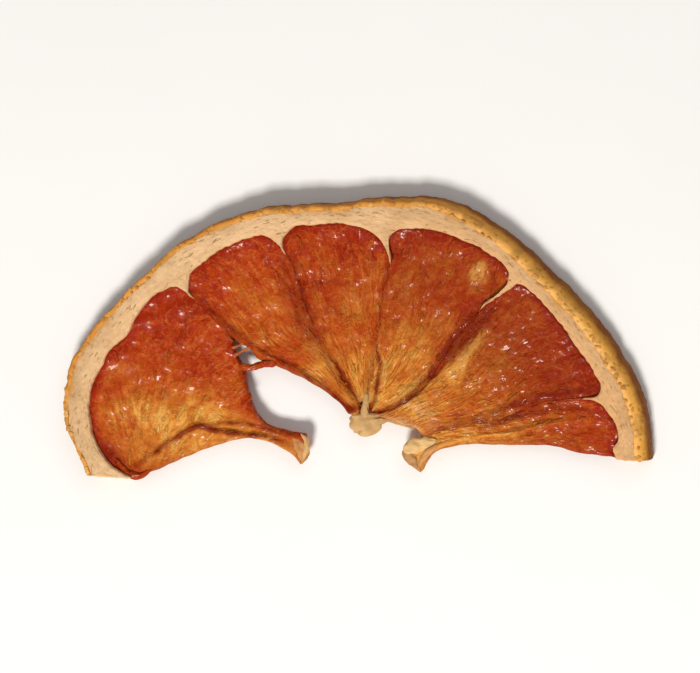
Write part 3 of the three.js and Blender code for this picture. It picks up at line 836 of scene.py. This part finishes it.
def rind_peel(outer, inwards, around, ending):
    """The peel: its slanting outer side and the lip at its top."""
    outside = PEEL_OUTSIDE(np.linspace(0, 1, PEEL_STEPS))
    profile = np.vstack([outside, PEEL_INSIDE])
    east = easterly(outer)
    slant = blended(LEFT_SLANT, PEEL_SLANT, east) / PEEL_SLANT
    uneven = 0.14 * waves(around, 0, 7, 1) + 0.09 * waves(around, 0, 2.0, 2)
    inward = np.where(profile[:, 0] < 0, profile[:, 0] * slant[:, None], profile[:, 0]) + uneven[:, None]
    height = profile[:, 1] / RIND_HEIGHT * rind_top(outer)[:, None]
    place = swept(outer, inwards, ending, inward, height)
    sides = len(profile)
    along_profile = np.concatenate([np.linspace(0, PEEL_OUTSIDE.length, PEEL_STEPS), 6.5 + np.arange(4)])
    tangent = unit(np.gradient(outer, axis=0))
    on_outside = (np.arange(sides) < PEEL_STEPS) & (profile[:, 1] > 0.1)
    on_lip = (profile[:, 0] > 0.1) & on_outside
    fields = {
        "grain": vectors(around[:, None], along_profile[None], 0),
        "radial": vectors(tangent[:, None, 0], tangent[:, None, 1], np.zeros(sides)),
        "height": place[..., 2].ravel() / RIND_HEIGHT,
        "east": np.repeat(east, sides),
        "relief": np.tile(on_outside * 1.0, len(outer)),
        "cover": np.tile(on_lip * 1.0, len(outer)),
    }
    piece = swept_piece("rind_peel", place, fields, clockwise=True)
    return apply_tree(piece, RIDGES, {
        "Ridge Width": 0.95, "Ridge Length": 0.95, "Ridge Height": 0.12, "Waviness": 0.3,
        "Wrinkle Size": 2.2, "Wrinkle Height": 0.1, "Seed": 3, "Material": DRIED_PEEL,
    })


def rind_pith(outer, inwards, width, around, spur, ending):
    """The pith between the peel and the flesh, with a spur between every two segments."""
    share = np.linspace(0, 1, PITH_TOP_STEPS)
    frayed = 0.13 * waves(around, 0, 3.2, 6) + 0.06 * waves(around, 0, 1.1, 7)
    start, brink = 0.7, (width - 0.35 + frayed * (1 - spur))[:, None]
    over = blended(start, brink, share)
    dish = 0.08 + 1.5 * PITH_DISH * smoothstep(over, 0, 6) + 0.12 * (1 - smoothstep(brink - over, 0, 0.4))
    top = rind_top(outer)[:, None]
    place_over = outer[:, None] + inwards[:, None] * over[..., None]
    uneven = 0.12 * waves(place_over[..., 0], place_over[..., 1], 3.5, 4)
    under_lip = [(np.full_like(brink, 0.2), top - 0.4), (np.full_like(brink, 0.5), top - 0.22)]
    wall = [(brink + inward, top - down)
            for inward, down in ((0.12, 0.78), (0.2, 1.2), (0.22, 2.0), (0.1, 3.0))]
    foot = [(brink - 0.05, 0.35 + 0 * top), (brink - 0.35, 0 * top)]
    below = [(blended(brink - 0.5, 0.3, s), 0 * top) for s in np.linspace(0.1, 1, 9)]
    behind = [(np.full_like(brink, 0.35), top * 0.4), (np.full_like(brink, 0.4), top * 0.75)]
    parts = [*under_lip, (over, top - dish + uneven), *wall, *foot, *below, *behind]
    inward = np.hstack([part[0] for part in parts])
    height = np.hstack([part[1] for part in parts])
    place = swept(outer, inwards, ending, inward, height)
    sides = place.shape[1]
    seen = place[..., :2] - FRUIT_CENTRE
    away = np.linalg.norm(seen, axis=-1)
    on_top = (np.arange(sides) >= 2) & (np.arange(sides) < 2 + PITH_TOP_STEPS)
    outness = np.clip(1 - ((place[..., :2] - outer[:, None]) * inwards[:, None]).sum(axis=-1) / 5.0, 0, 1)
    fields = {
        "grain": vectors(RIND_RADIUS * np.arctan2(seen[..., 1], seen[..., 0]), away, place[..., 2]),
        "radial": vectors(-seen[..., 1] / away, seen[..., 0] / away, 0),
        "outness": outness.ravel(),
        "east": np.repeat(easterly(outer), sides),
        "relief": (np.where(on_top, 1.0, 0.4) * smoothstep(height, 0.1, 0.8)).ravel(),
        "cover": (on_top * (0.2 + 0.8 * smoothstep(outness, 0.4, 0.85)) * (1 - spur)[:, None]).ravel(),
    }
    piece = swept_piece("rind_pith", place, fields, clockwise=True)
    return apply_tree(piece, RIDGES, {
        "Ridge Width": 1.8, "Ridge Length": 0.7, "Ridge Height": 0.14, "Waviness": 0.8,
        "Wrinkle Size": 1.2, "Wrinkle Height": 0.2, "Seed": 5, "Material": DRIED_PITH,
    })


# ---- Flesh ----

PAD_EDGE = 0.8  # how far in from its outline a pad of flesh has its full thickness
HELD_EDGE = 0.75  # how much sooner it has that where skin or pith holds it
OVERLAP = 0.3  # how far two pads reach into each other under the skin between them
ANCHOR = 0.7  # how far the flesh reaches into the pith
# Where the juice sacs of the first segment, pulled askew in drying, fan out from, and how far off their
# spacing is that of the other segments.
FAN_CORNER = np.array([-32.0, -25.5])
FAN_REACH = 17
# From which share of their length on the sides of a segment are cut or torn free; the others are held.
FREE_LEFT = {0: 0.0, 1: 0.36}
FREE_RIGHT = {0: 0.32, 5: 0.0}
HELD_ALONG = 2.0
GRAIN_APART = 11.0  # how far apart the grain of one segment starts from that of the next


def pad_faces(inner):
    """The faces of a pad's top and underside, which share the places that are not inner ones."""
    top = np.arange(inner.size).reshape(inner.shape)
    underside = top.copy()
    underside[inner] = inner.size + np.arange(inner.sum())

    def quads(index):
        corners = index[:-1, :-1], index[1:, :-1], index[1:, 1:], index[:-1, 1:]
        return np.stack(corners, axis=-1).reshape(-1, 4)

    return np.vstack([quads(top), quads(underside)[:, ::-1]]).tolist()


def add_folds(number, place, marks):
    """Adds a segment's folds to the fields that they mark."""
    for fold in FOLDS[number]:
        away, share = beside_line(fold["line"], place)
        fading = np.sin(np.pi * np.clip(share, 0.04, 0.96)) ** 0.4
        strength = bell(away, fold["wide"]) * fading
        strength *= 1 + 0.3 * waves(place[..., 0], place[..., 1], 2.5, 60 + number)
        for mark, values in marks.items():
            values += fold.get(mark, 0) * strength


def flesh_pad(number):
    """The flesh of a segment as a rounded pad with its folds, and the juice sacs that stand proud of it."""
    across, along = np.meshgrid(np.linspace(0, 1, PAD_COLUMNS), np.linspace(0, 1, PAD_ROWS))
    place = segment_places(number)(across, along)
    from_left, from_rim = run_along(place, 1), run_along(place, 0)
    to_right, to_end = from_left[:, -1:] - from_left, from_rim[-1:] - from_rim
    beside = np.minimum(from_left, to_right)
    held_left, held_right = (
        1 - smoothstep(along, free.get(number, HELD_ALONG) - 0.03, free.get(number, HELD_ALONG) + 0.03)
        for free in (FREE_LEFT, FREE_RIGHT)
    )
    sideways = np.minimum(from_left + HELD_EDGE * held_left, to_right + HELD_EDGE * held_right)
    edge = np.minimum(np.minimum(sideways, to_end), from_rim + HELD_EDGE)
    x, y = place[..., 0], place[..., 1]
    radial = unit(np.gradient(place, axis=0))

    broad = np.sin(0.55 * x + 0.35 * y) * np.sin(0.42 * y - 0.3 * x + 1.1)
    fine = np.sin(1.5 * x - 0.9 * y + 0.6) * np.sin(0.8 * x + 1.3 * y)
    middle = FLESH_MIDDLE - FLESH_SAG * np.sin(np.pi * along) + FLESH_WRINKLE * (0.75 * broad + 0.15 * fine)
    middle += 0.1 * waves(x, y, 5, 20) + 0.15 * bell(from_rim, 1.5)
    rounding = np.sqrt(1 - (1 - np.clip(edge / PAD_EDGE, 0, 1)) ** 2)
    upper = middle + FLESH_THICKNESS / 2 * rounding
    lower = middle - FLESH_THICKNESS / 2 * rounding

    rows = np.array(GOLD[number])
    halfway = np.clip(2 * along, 0, 1), np.clip(2 * along - 1, 0, 1)
    sides = [blended(blended(a, b, halfway[0]), blended(b, c, halfway[1]), (along > 0.5) * 1.0)
             for a, b, c in rows]
    gold = blended(*sides, smoothstep(across, 0, 0.9)) + 0.1 * waves(x, y, 9, 40 + number)
    gold -= 0.5 * bell(from_rim, 0.9)
    # Darker at the rim and beside the sides, where the pad rounds down: partly the deeper red of thicker
    # flesh there, partly painted shade of the groove.
    dark = 0.35 * bell(from_rim, 0.35) + 0.35 * bell(beside, 0.8)
    cream = np.zeros(across.shape)
    dark += RIM_SHADE[number] * (1 - smoothstep(along, 0.25, 0.75))
    add_folds(number, place, {"rise": upper, "gold": gold, "dark": dark, "cream": cream})
    rough = SAC_COVER[number] * np.clip(0.25 + 1.3 * along, 0, 1) * (0.75 + 0.25 * waves(x, y, 7, 90))

    held = np.maximum(np.where(across < 0.5, held_left, held_right), along == 0)
    drift = (0.05 + 0.1 * held) * (1 - smoothstep(beside, 0, 1.5))
    place = place + drift[..., None] * np.stack([waves(x, y, 2.2, 80), waves(x, y, 2.2, 81)], axis=-1)
    place[:, 0] += OVERLAP * held_left[:, :1] * unit(place[:, 0] - place[:, 1])
    place[:, -1] += OVERLAP * held_right[:, -1:] * unit(place[:, -1] - place[:, -2])
    place[0] -= ANCHOR * radial[1]
    inner = np.ones(across.shape, bool)
    inner[[0, -1]] = inner[:, [0, -1]] = False
    upper = np.where(inner, upper, blended(middle, upper, 0.8 * held * (along < 1)))
    places = np.vstack([np.dstack([place, upper]).reshape(-1, 3), np.dstack([place, lower])[inner]])

    def both(field):
        field = field.reshape(inner.size, -1).squeeze()
        return np.concatenate([field, field[inner.ravel()]])

    grain = vectors(across * from_left[:, -1].max(), from_rim, number * GRAIN_APART)
    if number == 0:
        seen = place - FAN_CORNER
        turn, away = np.arctan2(seen[..., 1], seen[..., 0]), np.linalg.norm(seen, axis=-1)
        grain = vectors(FAN_REACH * turn, away, 0)
        radial = unit(seen)
    fields = {
        "grain": both(grain),
        "radial": both(vectors(radial[..., 0], radial[..., 1], 0.0)),
        "gold": both(gold),
        "dark": both(np.clip(dark, 0, 1)),
        "cream": both(np.clip(cream, 0, 1)),
        "relief": both(smoothstep(edge, 0.1, 1.0) * (0.55 + 0.45 * rough)),
        "cover": both(smoothstep(edge, 0.6, 1.4) * rough),
    }
    piece = mesh_piece(f"segment_{number + 1}", places, pad_faces(inner), fields)
    apply_tree(piece, RIDGES, {
        "Ridge Width": 0.85, "Ridge Length": 2.4, "Ridge Height": 0.16, "Waviness": 0.9,
        "Wrinkle Size": 1.4, "Wrinkle Height": 0.36, "Seed": number, "Material": DRIED_FLESH,
    })
    sacs = scatter(f"segment_{number + 1}_juice_sacs", piece, {
        "Count per cm2": 22.0, "Length": 2.2, "Width": 0.55, "Height": 0.11, "Sunk": 0.025,
        "Straying": 0.25, "Crumple": 0.05, "Seed": SEED + number, "Material": DRIED_FLESH,
    })
    return [piece, sacs]


def upright_skin(number):
    """The thin skin between two segments, as closed sections along its line."""
    before, after = smooth(RIMS[number]), smooth(RIMS[number + 1])
    in_spur = (before(1 - IN_SPUR / before.length) + after(IN_SPUR / after.length)) / 2
    line = smooth([in_spur, *SKIN_LINES[number]])
    share = np.linspace(0, 1, int(line.length / SKIN_STEP))
    place = line(share)
    aside = right_of(place)
    gone = share * line.length - IN_SPUR
    pale = 1 - smoothstep(gone, 0.4 * PALE_SKIN[number], PALE_SKIN[number])
    place = place + aside * (0.16 * waves(gone, 0, 3, 100 + number) * (1 - pale))[:, None]
    flesh_top = FLESH_MIDDLE + FLESH_THICKNESS / 2 - 0.2 - FLESH_SAG * np.sin(np.pi * share)
    top = blended(SKIN_TOP_AT_RIND - 0.3, flesh_top, smoothstep(gone, -0.3, PALE_SKIN[number] + 1))
    top = top + 0.06 * waves(gone, 0, 4, 110 + number)
    half = 0.12 + 0.13 * (1 - smoothstep(gone, -IN_SPUR, PALE_SKIN[number]))
    ring = [(0.75, -0.18), (1, -0.6), (1.4, -1.3), (1.5, -9), (-1.5, -9), (-1.4, -1.3), (-1, -0.6),
            (-0.75, -0.18), (-0.35, -0.03), (0.35, -0.03)]
    sideways = np.array([r[0] for r in ring]) * half[:, None]
    height = np.maximum(top[:, None] + np.array([r[1] for r in ring]), SKIN_FOOT)
    places = sections(place, aside, sideways, height)
    sides = len(ring)
    fields = {
        "grain": vectors(np.arange(sides) * 0.3, gone[:, None], 0),
        "gold": np.repeat(0.35 + 0.3 * share, sides),
        "dark": np.repeat(0.35 * (1 - pale), sides),
        "cream": np.repeat(pale * 0.95, sides),
        "tone": 0.5,
    }
    piece = swept_piece(f"upright_skin_{number + 1}", places, fields, clockwise=True)
    piece.data.materials.append(DRIED_FLESH)
    return piece


def scrap(name, line, half, middle, tall, cream=0.0, gold=0.25):
    """A tapered scrap along a line, round in section, with an uneven surface."""
    curve = smooth(line)
    share = np.linspace(0, 1, SCRAP_STEPS)
    place = curve(share)
    corners = np.linspace(0, 1, len(half))
    reach = np.maximum(np.interp(share, corners, half), 0.02)
    nearby = 2 * SCRAP_SMOOTHING + 1
    reach = np.convolve(np.pad(reach, SCRAP_SMOOTHING, mode="edge"), np.ones(nearby) / nearby, mode="valid")
    tip = np.sqrt(1 - (1 - np.clip(np.minimum(share, 1 - share) * 7, 0.002, 1)) ** 2)
    turn = np.linspace(0, 2 * np.pi, SCRAP_SIDES, endpoint=False)
    bumpy = 1 + 0.14 * waves(share[:, None] * curve.length, turn * 1.2, 1.4, len(name))
    sideways = np.cos(turn) * reach[:, None] * tip[:, None] * bumpy
    height = middle + np.sin(turn) * tall * (tip * np.minimum(1, reach / max(half)) ** 0.5)[:, None] * bumpy
    places = sections(place, right_of(place), sideways, height)
    grain = vectors(turn * 0.8, share[:, None] * curve.length, 0)
    fields = {"grain": grain, "gold": gold, "dark": 0.35, "cream": cream, "tone": 0.5}
    piece = swept_piece(name, places, fields)
    piece.data.materials.append(DRIED_CORE if cream > PALE_SCRAP else DRIED_FLESH)
    return piece


# ---- The slice ----


def dress(pieces):
    """Lets pieces stand for the slice: each hangs from the root body, and the imported solid is hidden."""
    for piece in pieces:
        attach(piece, "root")
        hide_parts(SLICE)


def build_slice():
    outer, inwards, width, around, spur, ending = rind_columns()
    peel = rind_peel(outer, inwards, around, ending)
    pith = rind_pith(outer, inwards, width, around, spur, ending)
    glands = scatter("oil_glands", peel, {
        "Count per cm2": 80.0, "Length": 0.8, "Width": 0.6, "Height": 0.2, "Sunk": 0.06, "Straying": 1.0,
        "Crumple": 0.1, "Seed": SEED + 20, "Material": OIL_GLANDS,
    })
    pores = scatter("pith_pores", pith, {
        "Count per cm2": 60.0, "Length": 1.0, "Width": 0.2, "Height": 0.07, "Sunk": 0.015, "Straying": 0.35,
        "Crumple": 0.04, "Seed": SEED + 21, "Material": PITH_PORES,
    })
    flesh = [piece for number in range(len(RIMS)) for piece in flesh_pad(number)]
    skins = [upright_skin(number) for number in range(len(SKIN_LINES))]
    pale, red = [], []
    for name, sizes in SCRAPS.items():
        (pale if sizes.get("cream", 0) > PALE_SCRAP else red).append(scrap(name, **sizes))
    dress([peel, glands])
    dress([pith, pores, *pale])
    dress([*flesh, *skins, *red])


# ---- Floor, light and camera ----

CAMERA_LENS = 200.0  # millimetres
CAMERA_LEAN = 12  # degrees away from straight down
CAMERA_LEANS_TO = 25  # degrees from +X towards +Y
SENSOR_WIDTH = 36
SEEN_WIDTH = 0.104  # metres across the picture, at the slice
LOOK_AT = Vector((0.0, 0.0, 0.003))
FLOOR_REACH = 3000


def pointed(obj, at, to, up=Vector((0, 1, 0))):
    """Places an object at a point, looking at another, with its own +Y as near to up as it can be."""
    back = (at - to).normalized()
    right = up.cross(back).normalized()
    turn = Matrix([right, back.cross(right), back]).transposed()
    obj.matrix_world = Matrix.Translation(at) @ turn.to_4x4()
    bpy.context.scene.collection.objects.link(obj)
    return obj


def around(azimuth, elevation, distance):
    turn, rise = np.radians(azimuth), np.radians(elevation)
    level = np.cos(rise)
    return LOOK_AT + distance * Vector((level * np.cos(turn), level * np.sin(turn), np.sin(rise)))


def add_camera():
    lens = bpy.data.cameras.new("camera")
    lens.lens = CAMERA_LENS
    lens.clip_start = 0.01
    distance = SEEN_WIDTH * CAMERA_LENS / SENSOR_WIDTH
    at = around(CAMERA_LEANS_TO, 90 - CAMERA_LEAN, distance)
    bpy.context.scene.camera = pointed(bpy.data.objects.new("camera", lens), at, LOOK_AT)


def add_light(name, azimuth, elevation, distance, size, power, colour):
    lamp = bpy.data.lights.new(name, "AREA")
    lamp.size, lamp.energy, lamp.color = size, power, colour
    pointed(bpy.data.objects.new(name, lamp), around(azimuth, elevation, distance), LOOK_AT)


def add_stage():
    corners = [[x * FLOOR_REACH, y * FLOOR_REACH, 0] for x, y in ((-1, -1), (1, -1), (1, 1), (-1, 1))]
    floor = mesh_piece("floor", corners, [[0, 1, 2, 3]], {})
    floor.data.materials.append(PALE_FLOOR)
    world = bpy.data.worlds.new("studio")
    world.use_nodes = True
    bpy.context.scene.world = world
    sky = world.node_tree.nodes["Background"]
    sky.inputs["Color"].default_value = (1.0, 0.985, 0.97, 1.0)
    sky.inputs["Strength"].default_value = 0.26
    bpy.context.scene.view_settings.view_transform = "Standard"


add_camera()
add_stage()
add_light("key", azimuth=-100, elevation=55, distance=0.8, size=0.2, power=6.1, colour=(1.0, 0.97, 0.92))
add_light("fill", azimuth=60, elevation=50, distance=0.9, size=0.6, power=1.2, colour=(1.0, 0.98, 0.96))
build_slice()
